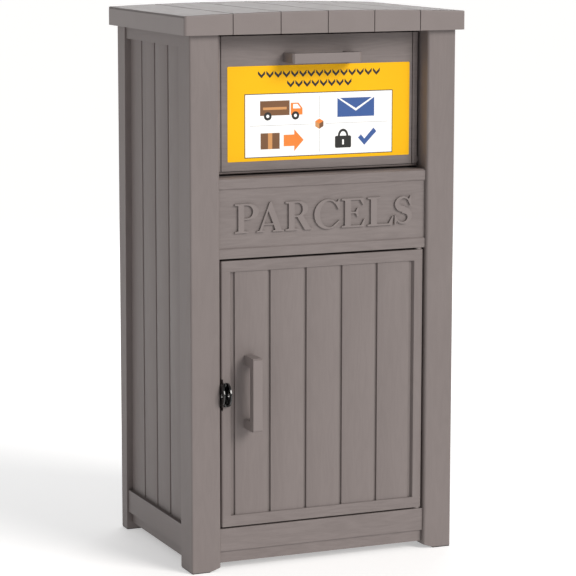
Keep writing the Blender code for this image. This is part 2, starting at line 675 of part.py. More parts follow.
# --- retrieval door -----------------------------------------------------------------------------
def retrieval_door():
    """Framed plank door with an open back, notched beside the padlock eye and bored for its two pins."""
    back = DOOR_FACE_Y + DOOR_THICKNESS
    width = (-DOOR_HALF_WIDTH, DOOR_HALF_WIDTH)
    door = block("door_panel", width, (DOOR_FACE_Y, back), (DOOR_BOTTOM, DOOR_TOP))

    def front_upright(first, second):
        upright = abs(first.z - second.z) > 0.4
        return upright and first.y < DOOR_FACE_Y + GAP

    round_edges(door, front_upright, DOOR_EDGE_RADIUS)
    planks_y = DOOR_FACE_Y + DOOR_PANEL_RECESS
    field_x = (-DOOR_PANEL_HALF_WIDTH + 0.0035, DOOR_PANEL_HALF_WIDTH - 0.0035)
    field = (field_x, (DOOR_FACE_Y - 0.01, planks_y))
    cut(door, block("field", *field, (DOOR_PANEL_BOTTOM, DOOR_PANEL_TOP)))
    for number in range(1, DOOR_PLANKS):
        x = (number - DOOR_PLANKS / 2) * DOOR_PLANK_PITCH
        cut(door, plank_groove(1, x, planks_y, DOOR_PANEL_BOTTOM, DOOR_PANEL_TOP, 1, DOOR_GROOVE_DEPTH))
    floor_y = planks_y + DOOR_GROOVE_DEPTH
    border = [
        (DOOR_PLANKS_HALF_WIDTH, DOOR_FACE_Y - 0.005),
        (DOOR_PANEL_HALF_WIDTH + 0.0026, DOOR_FACE_Y - 0.005),
        (DOOR_PANEL_HALF_WIDTH - 0.0035, floor_y),
        (DOOR_PLANKS_HALF_WIDTH, floor_y),
    ]
    for side in (-1, 1):
        channel = [(side * x, y) for x, y in border]
        cut(door, prism("border", channel, 2, DOOR_PANEL_BOTTOM, DOOR_PANEL_TOP))
    pocket_x = DOOR_HALF_WIDTH - DOOR_FLANGE
    low = DOOR_BOTTOM + DOOR_FLANGE
    high = DOOR_TOP - DOOR_FLANGE
    cells = 3
    rib = 0.006
    cell = (high - low - (cells - 1) * rib) / cells
    for number in range(cells):
        start = low + number * (cell + rib)
        pocket = ((-pocket_x, pocket_x), (planks_y + DOOR_SKIN, back + 0.01))
        cut(door, block("pocket", *pocket, (start, start + cell)))
    notch = ((-0.25, -DOOR_HALF_WIDTH + EYE_NOTCH), (DOOR_FACE_Y - 0.01, back + 0.01))
    cut(door, block("notch", *notch, (EYE_Z - 0.032, EYE_Z + 0.032)))
    for z in (DOOR_BOTTOM, DOOR_TOP):
        cut(door, rod("bore", 2, (DOOR_PIVOT_X, DOOR_PIVOT_Y, z - 0.03), 0.06, PIN_RADIUS + GAP))
    for rise in (-1, 1):
        z = HANDLE_Z + rise * (HANDLE_LENGTH - HANDLE_LEG) / 2
        drill(door, 1, (HANDLE_X, planks_y, z), 0.0022)
    for rise in (-1, 1):
        drill(door, 1, (EYE_SCREW_X, DOOR_FACE_Y, EYE_Z + rise * EYE_SCREW_RISE), 0.0022)
    return door


EYE_PLATE_LOW_X = -DOOR_HALF_WIDTH + EYE_NOTCH + 0.0005
EYE_PLATE_HIGH_X = EYE_PLATE_LOW_X + 0.010
EYE_SCREW_X = EYE_PLATE_LOW_X + 0.0035
EYE_SCREW_RISE = 0.0195


def door_eye():
    """Padlock eye on the door stile: a narrow foot plate with the D-shaped ear standing on it."""
    face = DOOR_FACE_Y - GAP
    foot_z = (EYE_Z - EYE_HEIGHT / 2, EYE_Z + EYE_HEIGHT / 2)
    foot = block("door_lock_eye", (EYE_PLATE_LOW_X, EYE_PLATE_HIGH_X), (face - 0.002, face), foot_z, BLACK)
    ear = eye_outline(face - 0.001, DOOR_FACE_Y - EYE_REACH, EYE_HEIGHT)
    add(foot, prism("ear", ear, 0, EYE_PLATE_HIGH_X - EYE_SHEET, EYE_PLATE_HIGH_X - 0.0001, BLACK))
    drill(foot, 0, (EYE_PLATE_HIGH_X, DOOR_FACE_Y - 0.012, EYE_Z), EYE_HOLE_RADIUS)
    for rise in (-1, 1):
        drill(foot, 1, (EYE_SCREW_X, face, EYE_Z + rise * EYE_SCREW_RISE), 0.0022)
    return foot


def bar_handle(name, upright, centre, face):
    """A pull bar on two legs, standing on a face that looks towards -Y."""
    half = HANDLE_LENGTH / 2
    bar_back = face - HANDLE_REACH + HANDLE_BAR
    root = face - GAP
    tip = face - HANDLE_REACH
    slope = 0.004
    outline = [
        (-half, root),
        (-half, tip + slope),
        (-half + slope, tip),
        (half - slope, tip),
        (half, tip + slope),
        (half, root),
        (half - HANDLE_LEG, root),
        (half - HANDLE_LEG, bar_back),
        (-half + HANDLE_LEG, bar_back),
        (-half + HANDLE_LEG, root),
    ]
    if upright:
        points = [(depth, centre[1] + along) for along, depth in outline]
        handle = prism(name, points, 0, centre[0] - HANDLE_WIDTH / 2, centre[0] + HANDLE_WIDTH / 2)
    else:
        points = [(centre[0] + along, depth) for along, depth in outline]
        handle = prism(name, points, 2, centre[1] - HANDLE_WIDTH / 2, centre[1] + HANDLE_WIDTH / 2)
    for side in (-1, 1):
        offset = side * (HANDLE_LENGTH - HANDLE_LEG) / 2
        x = centre[0] + (0 if upright else offset)
        z = centre[1] + (offset if upright else 0)
        cut(handle, rod("bore", 1, (x, root - 0.014, z), 0.03, 0.0022, sides=16))
    return handle


# --- drop door ----------------------------------------------------------------------------------
def drop_door():
    back = DROP_FACE_Y + DOOR_THICKNESS
    width = (-DROP_HALF_WIDTH, DROP_HALF_WIDTH)
    door = block("drop_door_panel", width, (DROP_FACE_Y, back), (DROP_BOTTOM, DROP_TOP))
    round_edges(door, lambda a, b: abs(a.x - b.x) > 0.4 and a.z < DROP_BOTTOM + GAP, 0.004)
    lip_z = DROP_BOTTOM + DROP_LIP
    groove = ((DROP_FACE_Y - 0.01, DROP_FACE_Y + 0.004), (lip_z - 0.001, lip_z + 0.001))
    cut(door, block("groove", (-0.3, 0.3), *groove))
    pocket_x = DROP_HALF_WIDTH - 0.012
    pocket = ((-pocket_x, pocket_x), (DROP_FACE_Y + DOOR_SKIN, back + 0.01))
    cut(door, block("pocket", *pocket, (DROP_BOTTOM + 0.050, DROP_TOP - 0.012)))
    for side in (-1, 1):
        start = side * DROP_HALF_WIDTH - 0.020
        cut(door, rod("bore", 0, (start, DROP_PIVOT_Y, DROP_PIVOT_Z), 0.040, PIN_RADIUS + GAP))
        x = side * (HANDLE_LENGTH - HANDLE_LEG) / 2
        drill(door, 1, (x, DROP_FACE_Y, DROP_HANDLE_Z), 0.0022)
    return door


def tray():
    """Bent sheet behind the drop door: a flange on the door and a shelf that slopes down to the rear."""
    back = DROP_FACE_Y + DOOR_THICKNESS + GAP
    run = Vector((math.cos(TRAY_ANGLE), -math.sin(TRAY_ANGLE)))
    across = Vector((math.sin(TRAY_ANGLE), math.cos(TRAY_ANGLE))) * TRAY_SHEET
    bend = Vector((back, 0.8105))
    end = bend + run * TRAY_LENGTH
    outline = [
        (back, 0.848),
        (bend.x, bend.y),
        (end.x, end.y),
        (end.x + across.x, end.y + across.y),
        (bend.x + TRAY_SHEET, bend.y + TRAY_SHEET * 0.9),
        (back + TRAY_SHEET, 0.848),
    ]
    return prism("drop_tray", outline, 0, -TRAY_HALF_WIDTH, TRAY_HALF_WIDTH, RESIN_INNER)


def cheek(side, name):
    """Three-cornered plate that closes one end of the tray and ties it to the door."""
    back = DROP_FACE_Y + DOOR_THICKNESS + GAP
    end_y = back + math.cos(TRAY_ANGLE) * TRAY_LENGTH
    end_z = 0.8105 - math.sin(TRAY_ANGLE) * TRAY_LENGTH
    outline = [
        (back, 0.8105),
        (end_y, end_z),
        (end_y + 0.010, end_z + 0.012),
        (back + 0.012, DROP_PIVOT_Z + CHEEK_HEIGHT),
        (back, DROP_PIVOT_Z + CHEEK_HEIGHT),
    ]
    span = sorted((side * (TRAY_HALF_WIDTH + GAP), side * (TRAY_HALF_WIDTH + GAP + TRAY_SHEET)))
    return prism(name, outline, 0, span[0], span[1], RESIN_INNER)


def label():
    low = (LABEL_X - LABEL_WIDTH / 2, LABEL_Z - LABEL_HEIGHT / 2)
    high = (LABEL_X + LABEL_WIDTH / 2, LABEL_Z + LABEL_HEIGHT / 2)
    face = DROP_FACE_Y - GAP
    return block("label", (low[0], high[0]), (face - LABEL_SHEET, face), (low[1], high[1]), LABEL_VINYL)


# --- assembly -----------------------------------------------------------------------------------
def build_cabinet():
    posts = {}
    for side, word in ((-1, "left"), (1, "right")):
        posts[word] = front_post(side, f"front_post_{word}")
        rear_post(side, f"rear_post_{word}")
        foot_pad(side, True, f"foot_pad_front_{word}")
        foot_pad(side, False, f"foot_pad_rear_{word}")
        side_panel(side, f"side_panel_{word}")
        drop_origin = (side * (POST_INNER_X - GAP - DROP_BUSH_FLANGE), DROP_PIVOT_Y, DROP_PIVOT_Z)
        drill(posts[word], 0, (side * POST_INNER_X, DROP_PIVOT_Y, DROP_PIVOT_Z), BUSH_RADIUS + GAP)
        bush(f"drop_hinge_bush_{word}", 0, drop_origin, side, DROP_BUSH_FLANGE)
    back_panel()
    floor_panel()
    lid()
    letter_panel()
    bottom_rail()
    frame_eye()
    for number, rise in enumerate((-0.010, 0.010), 1):
        drill(posts["left"], 0, (-POST_INNER_X, -0.160, EYE_Z + rise), 0.0022)
        head_x = -POST_INNER_X + GAP + EYE_SHEET + GAP
        screw(f"frame_eye_screw_{number}", 0, (head_x, -0.160, EYE_Z + rise), -1)
    upper = (DOOR_PIVOT_X, DOOR_PIVOT_Y, DOOR_TOP + GAP)
    lower = (DOOR_PIVOT_X, DOOR_PIVOT_Y, DOOR_BOTTOM - GAP)
    bush("door_hinge_bush_top", 2, upper, 1, LETTER_PANEL_BOTTOM - DOOR_TOP - 2 * GAP)
    bush("door_hinge_bush_bottom", 2, lower, -1, DOOR_FOOT_GAP - 2 * GAP)


def build_retrieval_door():
    pivot = bpy.data.objects.new("retrieval_door_axis", None)
    pivot.location = (DOOR_PIVOT_X, DOOR_PIVOT_Y, 0.0)
    bpy.context.scene.collection.objects.link(pivot)
    planks_y = DOOR_FACE_Y + DOOR_PANEL_RECESS
    pieces = [retrieval_door(), door_eye()]
    pieces.append(bar_handle("door_handle", True, (HANDLE_X, HANDLE_Z), planks_y))
    pin_length = 0.038
    for word, start in (("top", DOOR_TOP - 0.028), ("bottom", DOOR_BOTTOM - 0.010)):
        foot = (DOOR_PIVOT_X, DOOR_PIVOT_Y, start)
        pieces.append(rod(f"door_pin_{word}", 2, foot, pin_length, PIN_RADIUS))
    for number, rise in enumerate((-1, 1), 1):
        z = HANDLE_Z + rise * (HANDLE_LENGTH - HANDLE_LEG) / 2
        head = (HANDLE_X, planks_y + DOOR_SKIN + GAP, z)
        pieces.append(screw(f"door_handle_screw_{number}", 1, head, -1, 0.016))
        head = (EYE_SCREW_X, DOOR_FACE_Y - 0.002 - 2 * GAP, EYE_Z + rise * EYE_SCREW_RISE)
        pieces.append(screw(f"door_eye_screw_{number}", 1, head, 1, 0.010, 0.0017, 0.0030))
    hang(pieces, pivot)


def build_drop_door():
    pivot = bpy.data.objects.new("drop_door_axis", None)
    pivot.location = (0.0, DROP_PIVOT_Y, DROP_PIVOT_Z)
    bpy.context.scene.collection.objects.link(pivot)
    pieces = [drop_door(), tray(), label()]
    pieces.append(bar_handle("drop_door_handle", False, (0.0, DROP_HANDLE_Z), DROP_FACE_Y))
    for side, word in ((-1, "left"), (1, "right")):
        pieces.append(cheek(side, f"tray_cheek_{word}"))
        ends = sorted((side * (DROP_HALF_WIDTH - 0.018), side * (POST_INNER_X + 0.006)))
        start = (ends[0], DROP_PIVOT_Y, DROP_PIVOT_Z)
        pieces.append(rod(f"drop_door_pin_{word}", 0, start, ends[1] - ends[0], PIN_RADIUS))
        x = side * (HANDLE_LENGTH - HANDLE_LEG) / 2
        head = (x, DROP_FACE_Y + DOOR_SKIN + GAP, DROP_HANDLE_Z)
        pieces.append(screw(f"drop_handle_screw_{word}", 1, head, -1, 0.016))
    hang(pieces, pivot)


def hang(pieces, pivot):
    """Moves each piece's origin onto the hinge axis and parents it to the empty there."""
    for piece in pieces:
        move_origin(piece, pivot.location)
        piece.parent = pivot
        piece.location = (0.0, 0.0, 0.0)


def main():
    clear_scene()
    build_cabinet()
    build_retrieval_door()
    build_drop_door()


main()
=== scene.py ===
"""Looks of a free-standing parcel drop box, moulded in wood-grained resin.

Metres, +Z up, the doors face -Y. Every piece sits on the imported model's frame and moves with its bodies.
"""

import math

import bmesh
import bpy
from mathutils import Matrix, Vector


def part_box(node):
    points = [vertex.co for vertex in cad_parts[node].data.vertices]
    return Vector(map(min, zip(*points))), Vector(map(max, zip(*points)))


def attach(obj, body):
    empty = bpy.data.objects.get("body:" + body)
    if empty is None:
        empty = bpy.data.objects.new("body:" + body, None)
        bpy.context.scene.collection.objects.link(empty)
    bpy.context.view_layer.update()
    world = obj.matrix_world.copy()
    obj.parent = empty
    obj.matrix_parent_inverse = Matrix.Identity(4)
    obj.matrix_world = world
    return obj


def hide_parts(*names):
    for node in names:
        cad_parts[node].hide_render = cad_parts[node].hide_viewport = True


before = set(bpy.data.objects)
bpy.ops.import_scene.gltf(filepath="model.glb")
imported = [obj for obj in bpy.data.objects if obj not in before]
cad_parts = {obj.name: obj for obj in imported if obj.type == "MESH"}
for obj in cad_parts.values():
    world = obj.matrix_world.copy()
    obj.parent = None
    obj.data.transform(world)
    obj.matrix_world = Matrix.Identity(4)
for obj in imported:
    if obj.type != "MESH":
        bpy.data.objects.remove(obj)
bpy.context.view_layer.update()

MM = 0.001

# Sizes of the CAD pieces that the looks follow, in metres
SIDE_RAIL_LOW_TOP = 0.088  # top edge of the low rails on the sides and the back
SIDE_RAIL_TOP_BOTTOM = 1.0555  # bottom edge of their top rails
SIDE_PLANK_X = 0.2775  # face of the side panels, to which the planks are added
SIDE_PLANK_PITCH = 0.077
SIDE_PLANK_MIDDLE = -0.006  # between the second and third groove
BACK_PLANK_Y = 0.218
BACK_PLANK_PITCH = 0.0907
DOOR_PLANK_Y = -0.1912
DOOR_PLANK_PITCH = 0.079
DOOR_PLANKS_HALF_WIDTH = 0.1928  # the outer edges of the door's outer planks
DOOR_FIELD = (0.1125, 0.6105)  # heights between which the lower door shows planks
LETTER_BAND = (0.683, 0.750)  # heights between which the raised letters stand
LETTER_FIELD_Y = -0.191  # face from which they rise
DROP_FACE_Y = -0.163
DROP_GROOVE_Z = 0.807
DROP_GROOVE_SPAN = 0.4205  # between the two upright grooves on the drop door
LID_PLANKS = 6
LID_CROWN = 0.006
LID_WALL = 4 * MM

# Sizes of the planks that are added
SEAM = 6.2 * MM  # width of the channel between two planks
PLANK_THICKNESS = 4.6 * MM
PLANK_SINK = 2.1 * MM  # how far a plank's middle lies behind its panel's face
PLANK_SHOULDER = 2.0 * MM


# --- small tools --------------------------------------------------------------------------------
def srgb(text):
    """An sRGB hex colour as the linear colour that shaders use."""
    channels = [int(text[start : start + 2], 16) / 255 for start in (0, 2, 4)]
    linear = [c / 12.92 if c <= 0.04045 else ((c + 0.055) / 1.055) ** 2.4 for c in channels]
    return (*linear, 1.0)


def add(tree, kind, links=None, **settings):
    """Adds a node with its settings; links gives each input a value or the socket that feeds it."""
    node = tree.nodes.new(kind)
    for setting, value in settings.items():
        setattr(node, setting, value)
    for place, value in (links or {}).items():
        if isinstance(value, bpy.types.NodeSocket):
            tree.links.new(value, node.inputs[place])
        else:
            node.inputs[place].default_value = value
    return node


def finish(name, **shader_values):
    """A new material and its Principled shader, with constants set on the shader's own sockets."""
    made = bpy.data.materials.new(name)
    made.use_nodes = True
    shader = made.node_tree.nodes["Principled BSDF"]
    for socket, value in shader_values.items():
        shader.inputs[socket.replace("_", " ")].default_value = value
    return made, made.node_tree, shader


def placed(name, data):
    """A new object in the scene that carries this data."""
    made = bpy.data.objects.new(name, data)
    bpy.context.scene.collection.objects.link(made)
    return made


def plain_mesh(shape, name):
    """Turns a shape that was being worked on into mesh data."""
    data = bpy.data.meshes.new(name)
    shape.to_mesh(data)
    shape.free()
    return data


def slab(shape, outline, front, back):
    """Adds a flat outline of (x, z) points as a closed slab between two depths, and returns its faces."""
    rings = [[shape.verts.new((x, y, z)) for x, z in outline] for y in (front, back)]
    faces = [shape.faces.new(rings[0]), shape.faces.new(rings[1][::-1])]
    for number in range(len(outline)):
        after = (number + 1) % len(outline)
        corners = (rings[0][after], rings[0][number], rings[1][number], rings[1][after])
        faces.append(shape.faces.new(corners))
    return faces


# --- finishes -----------------------------------------------------------------------------------
def grained_resin(name, along, shade, pale, depth=0.22):
    """Polypropylene, injection moulded against a tool etched with wood grain that runs along one axis.

    The eye sees a warm grey satin plastic with hair-fine streaks, a slower drift of tone between growth
    rings, and short pores that catch the light.
    """
    made, tree, shader = finish(name, IOR=1.49)
    place = add(tree, "ShaderNodeTexCoord").outputs["Object"]

    def stretched(across, length, detail, seed):
        scale = [1000 / across] * 3
        scale[along] = 1000 / length
        shift = (seed * 1.7, seed * 2.3, seed * 3.1)
        spread = add(tree, "ShaderNodeMapping", {"Vector": place, "Scale": scale, "Location": shift})
        settings = {"Vector": spread.outputs[0], "Scale": 1.0, "Detail": detail, "Roughness": 0.6}
        return add(tree, "ShaderNodeTexNoise", settings).outputs[0]

    streaks = stretched(1.9, 34, 3.0, 1)  # drawn about twice as coarse as the real one-millimetre grain
    pores = stretched(1.3, 12, 1.0, 2)
    rings = stretched(28, 190, 1.0, 3)
    drift = stretched(60, 240, 1.0, 4)
    turns = add(tree, "ShaderNodeMath", {0: rings, 1: 40.0}, operation="MULTIPLY")
    wave = add(tree, "ShaderNodeMath", {0: turns.outputs[0]}, operation="SINE")
    figure = add(tree, "ShaderNodeMapRange", {0: wave.outputs[0], 1: -1.0, 2: 1.0})
    fine = add(tree, "ShaderNodeMix", {0: 0.22, 2: streaks, 3: figure.outputs[0]})
    grain = add(tree, "ShaderNodeMix", {0: 0.22, 2: fine.outputs[0], 3: pores})
    tone = add(tree, "ShaderNodeMix", {0: 0.35, 2: grain.outputs[0], 3: drift})
    spread = add(tree, "ShaderNodeMapRange", {0: tone.outputs[0], 1: 0.3, 2: 0.7})
    mixed = add(
        tree,
        "ShaderNodeMix",
        {0: spread.outputs[0], 6: srgb(shade), 7: srgb(pale)},
        data_type="RGBA",
    )
    tree.links.new(mixed.outputs[2], shader.inputs["Base Color"])
    sheen = add(tree, "ShaderNodeMapRange", {0: grain.outputs[0], 1: 0.3, 2: 0.7, 3: 0.46, 4: 0.58})
    tree.links.new(sheen.outputs[0], shader.inputs["Roughness"])
    relief = add(
        tree,
        "ShaderNodeBump",
        {"Height": grain.outputs[0], "Strength": depth, "Distance": 0.4 * MM},
    )
    tree.links.new(relief.outputs[0], shader.inputs["Normal"])
    return made


def plain_resin(name, shade, pale, roughness, pebble=0.9, depth=0.12):
    """Polypropylene, injection moulded against a spark-eroded tool.

    The eye sees an even satin plastic whose skin is faintly pebbled, with a slight cloudiness of tone.
    """
    made, tree, shader = finish(name, IOR=1.49, Roughness=roughness)
    place = add(tree, "ShaderNodeTexCoord").outputs["Object"]
    cloud = add(tree, "ShaderNodeTexNoise", {"Vector": place, "Scale": 1000 / 45, "Detail": 3.0})
    skin = add(tree, "ShaderNodeTexNoise", {"Vector": place, "Scale": 1000 / pebble, "Detail": 2.0})
    blend = add(tree, "ShaderNodeMix", {0: 0.3, 2: cloud.outputs[0], 3: skin.outputs[0]})
    spread = add(tree, "ShaderNodeMapRange", {0: blend.outputs[0], 1: 0.3, 2: 0.7})
    mixed = add(
        tree,
        "ShaderNodeMix",
        {0: spread.outputs[0], 6: srgb(shade), 7: srgb(pale)},
        data_type="RGBA",
    )
    tree.links.new(mixed.outputs[2], shader.inputs["Base Color"])
    relief = add(
        tree,
        "ShaderNodeBump",
        {"Height": skin.outputs[0], "Strength": depth, "Distance": 0.2 * MM},
    )
    tree.links.new(relief.outputs[0], shader.inputs["Normal"])
    return made


def black_enamel():
    """Steel plate, stoved in gloss black enamel.

    The eye sees a wet black with crisp lights, a little orange peel, and the steel's grey at no edge.
    """
    made, tree, shader = finish("gloss_black_enamel", IOR=1.52, Coat_Weight=0.6, Coat_Roughness=0.04)
    place = add(tree, "ShaderNodeTexCoord").outputs["Object"]
    peel = add(tree, "ShaderNodeTexNoise", {"Vector": place, "Scale": 1000 / 2.5, "Detail": 2.0})
    mixed = add(
        tree,
        "ShaderNodeMix",
        {0: peel.outputs[0], 6: srgb("060606"), 7: srgb("0E0D0D")},
        data_type="RGBA",
    )
    tree.links.new(mixed.outputs[2], shader.inputs["Base Color"])
    gloss = add(tree, "ShaderNodeMapRange", {0: peel.outputs[0], 3: 0.12, 4: 0.22})
    tree.links.new(gloss.outputs[0], shader.inputs["Roughness"])
    relief = add(
        tree,
        "ShaderNodeBump",
        {"Height": peel.outputs[0], "Strength": 0.1, "Distance": 0.1 * MM},
    )
    tree.links.new(relief.outputs[0], shader.inputs["Normal"])
    return made


def zinc_steel():
    """Carbon steel, zinc plated and passivated.

    The eye sees a pale silver with soft cloudy patches and fine turning marks.
    """
    made, tree, shader = finish("zinc_plated_steel", Metallic=1.0)
    place = add(tree, "ShaderNodeTexCoord").outputs["Object"]
    cloud = add(tree, "ShaderNodeTexNoise", {"Vector": place, "Scale": 1000 / 3.0, "Detail": 3.0})
    mixed = add(
        tree,
        "ShaderNodeMix",
        {0: cloud.outputs[0], 6: srgb("A9ABAC"), 7: srgb("D3D4D0")},
        data_type="RGBA",
    )
    tree.links.new(mixed.outputs[2], shader.inputs["Base Color"])
    gloss = add(tree, "ShaderNodeMapRange", {0: cloud.outputs[0], 3: 0.24, 4: 0.42})
    tree.links.new(gloss.outputs[0], shader.inputs["Roughness"])
    return made


def printed_vinyl(name, ink, deeper, roughness=0.38, specular=0.5):
    """Calendered vinyl film, screen printed.

    The eye sees a flat, saturated ink under a faint satin, a little deeper where the ink lies thicker.
    """
    made, tree, shader = finish(name, IOR=1.5, Roughness=roughness, Specular_IOR_Level=specular)
    place = add(tree, "ShaderNodeTexCoord").outputs["Object"]
    cloud = add(tree, "ShaderNodeTexNoise", {"Vector": place, "Scale": 1000 / 70, "Detail": 2.0})
    mixed = add(
        tree,
        "ShaderNodeMix",
        {0: cloud.outputs[0], 6: srgb(ink), 7: srgb(deeper)},
        data_type="RGBA",
    )
    tree.links.new(mixed.outputs[2], shader.inputs["Base Color"])
    skin = add(tree, "ShaderNodeTexNoise", {"Vector": place, "Scale": 1000 / 1.2, "Detail": 1.0})
    relief = add(
        tree,
        "ShaderNodeBump",
        {"Height": skin.outputs[0], "Strength": 0.05, "Distance": 0.1 * MM},
    )
    tree.links.new(relief.outputs[0], shader.inputs["Normal"])
    return made


GRAIN_UPRIGHT = grained_resin("upright_grain_polypropylene", 2, "726967", "7A716F")
GRAIN_LEVEL = grained_resin("level_grain_polypropylene", 0, "6E6563", "7E7573", 0.45)
GRAIN_DEEP = grained_resin("front_to_back_grain_polypropylene", 1, "6E6563", "7E7573", 0.45)
# Smooth resin without the etched grain. Its tone is the resin's own grey made a little paler than the
# grained panels as painted light, so the handle bars and raised letter faces that take it look more
# brightly lit.
SATIN_WITH_PAINTED_LIGHT = plain_resin("satin_polypropylene", "7B7270", "7F7674", 0.40)
INNER = plain_resin("inner_polypropylene", "67605D", "6E6663", 0.55)
PAD = plain_resin("soft_pvc_pad", "2B2A2A", "363434", 0.7)
ENAMEL = black_enamel()
ZINC = zinc_steel()
YELLOW = printed_vinyl("yellow_printed_vinyl", "F8BC02", "F4B601", 0.45, 0.2)
WHITE = printed_vinyl("white_printed_vinyl", "FDFDFC", "F6F6F5")
INK = printed_vinyl("black_ink_vinyl", "141312", "1D1B1A", 0.32)
GREY_INK = printed_vinyl("grey_ink_vinyl", "8D8F93", "9A9CA0")
BLUE_INK = printed_vinyl("blue_ink_vinyl", "2B4F8E", "335A9C")
BROWN_INK = printed_vinyl("brown_ink_vinyl", "6B4524", "7A5230")
TAN_INK = printed_vinyl("tan_ink_vinyl", "C98B50", "D3995F")
ORANGE_INK = printed_vinyl("orange_ink_vinyl", "E8781E", "EE8A34")


# --- pieces -------------------------------------------------------------------------------------
def piece(name, mesh, finishes, body, slot, *nodes):
    """A finished piece: mesh and finishes, the body it moves with, and the CAD nodes it stands for."""
    data = plain_mesh(mesh, name) if isinstance(mesh, bmesh.types.BMesh) else mesh
    data.name = name
    for number, one in enumerate(finishes):
        if number < len(data.materials):
            data.materials[number] = one
        else:
            data.materials.append(one)
    data.shade_smooth()
    data.set_sharp_from_angle(angle=math.radians(32))
    made = placed(name, data)
    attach(made, body)
    if nodes:
        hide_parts(*nodes)
    return made


def soften(made, width, segments=3, angle=28):
    """Rounds a piece's sharp edges as a mould does."""
    edge = made.modifiers.new("soft edges", "BEVEL")
    edge.width = width
    edge.segments = segments
    edge.limit_method = "ANGLE"
    edge.angle_limit = math.radians(angle)
    edge.miter_outer = "MITER_ARC"
    flat = made.modifiers.new("flat faces", "WEIGHTED_NORMAL")
    flat.keep_sharp = True
    return made


def merged(node):
    """A CAD node's shape with its loose triangles merged; faces with holes in them stay as triangles."""
    mesh = bmesh.new()
    mesh.from_mesh(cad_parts[node].data)
    bmesh.ops.remove_doubles(mesh, verts=mesh.verts[:], dist=0.02 * MM)
    if "_panel" not in node:
        bmesh.ops.dissolve_limit(
            mesh, angle_limit=math.radians(0.6), verts=mesh.verts[:], edges=mesh.edges[:]
        )
    for face in mesh.faces:
        face.material_index = 0
    return mesh


def carved(data, cutters):
    """What is left of a mesh after each cutter is taken out of it."""
    block = placed("block", data)
    for cutter in cutters:
        tool = placed("cutter", cutter)
        cut = block.modifiers.new("cut", "BOOLEAN")
        cut.operation = "DIFFERENCE"
        cut.solver = "EXACT"
        cut.object = tool
        graph = bpy.context.evaluated_depsgraph_get()
        block.data = bpy.data.meshes.new_from_object(block.evaluated_get(graph))
        block.modifiers.clear()
        bpy.data.objects.remove(tool)
    left = block.data.copy()
    bpy.data.objects.remove(block)
    return left


def moulding(node, finishes, body, slot, width, segments=3, second=None, split=(), cutters=()):
    """A CAD node's shape with soft edges.

    Its faces are divided at the heights in split, second(face centre) picks those that take the second
    finish, and the cutters are taken out before the edges are softened.
    """
    mesh = merged(node)
    for height in split:
        everything = mesh.verts[:] + mesh.edges[:] + mesh.faces[:]
        bmesh.ops.bisect_plane(mesh, geom=everything, plane_co=(0, 0, height), plane_no=(0, 0, 1))
    if second:
        for face in mesh.faces:
            face.material_index = int(second(face.calc_center_median()))
    if cutters:
        mesh = carved(plain_mesh(mesh, node), cutters)
    made = piece(node + "_moulding", mesh, finishes, body, slot, node)
    return soften(made, width, segments)


# --- rows made by Geometry Nodes ----------------------------------------------------------------
def geometry_tree(name, sizes):
    """A Geometry Nodes tree with one named input for each size, and the sockets that carry them."""
    tree = bpy.data.node_groups.new(name, "GeometryNodeTree")
    tree.interface.new_socket("Geometry", in_out="OUTPUT", socket_type="NodeSocketGeometry")
    for label, kind in sizes.items():
        tree.interface.new_socket(label, in_out="INPUT", socket_type="NodeSocket" + kind)
    return tree, add(tree, "NodeGroupInput").outputs


def close_tree(tree, instances, material):
    """Ends a tree: real geometry, its finish, and the output."""
    real = add(tree, "GeometryNodeRealizeInstances", {0: instances})
    coated = add(tree, "GeometryNodeSetMaterial", {"Geometry": real.outputs[0], "Material": material})
    add(tree, "NodeGroupOutput", {0: coated.outputs[0]})
    return tree


def grown(tree, place=None, **sizes):
    """Runs a tree once with these sizes, and puts the plain mesh that it makes in its place."""
    holder = placed(tree.name, bpy.data.meshes.new(tree.name))
    step = holder.modifiers.new(tree.name, "NODES")
    step.node_group = tree
    for item in tree.interface.items_tree:
        key = item.name.replace(" ", "_")
        if item.in_out == "INPUT" and key in sizes:
            step[item.identifier] = sizes[key]
    graph = bpy.context.evaluated_depsgraph_get()
    data = bpy.data.meshes.new_from_object(holder.evaluated_get(graph))
    bpy.data.objects.remove(holder)
    if place:
        data.transform(place)
    return data


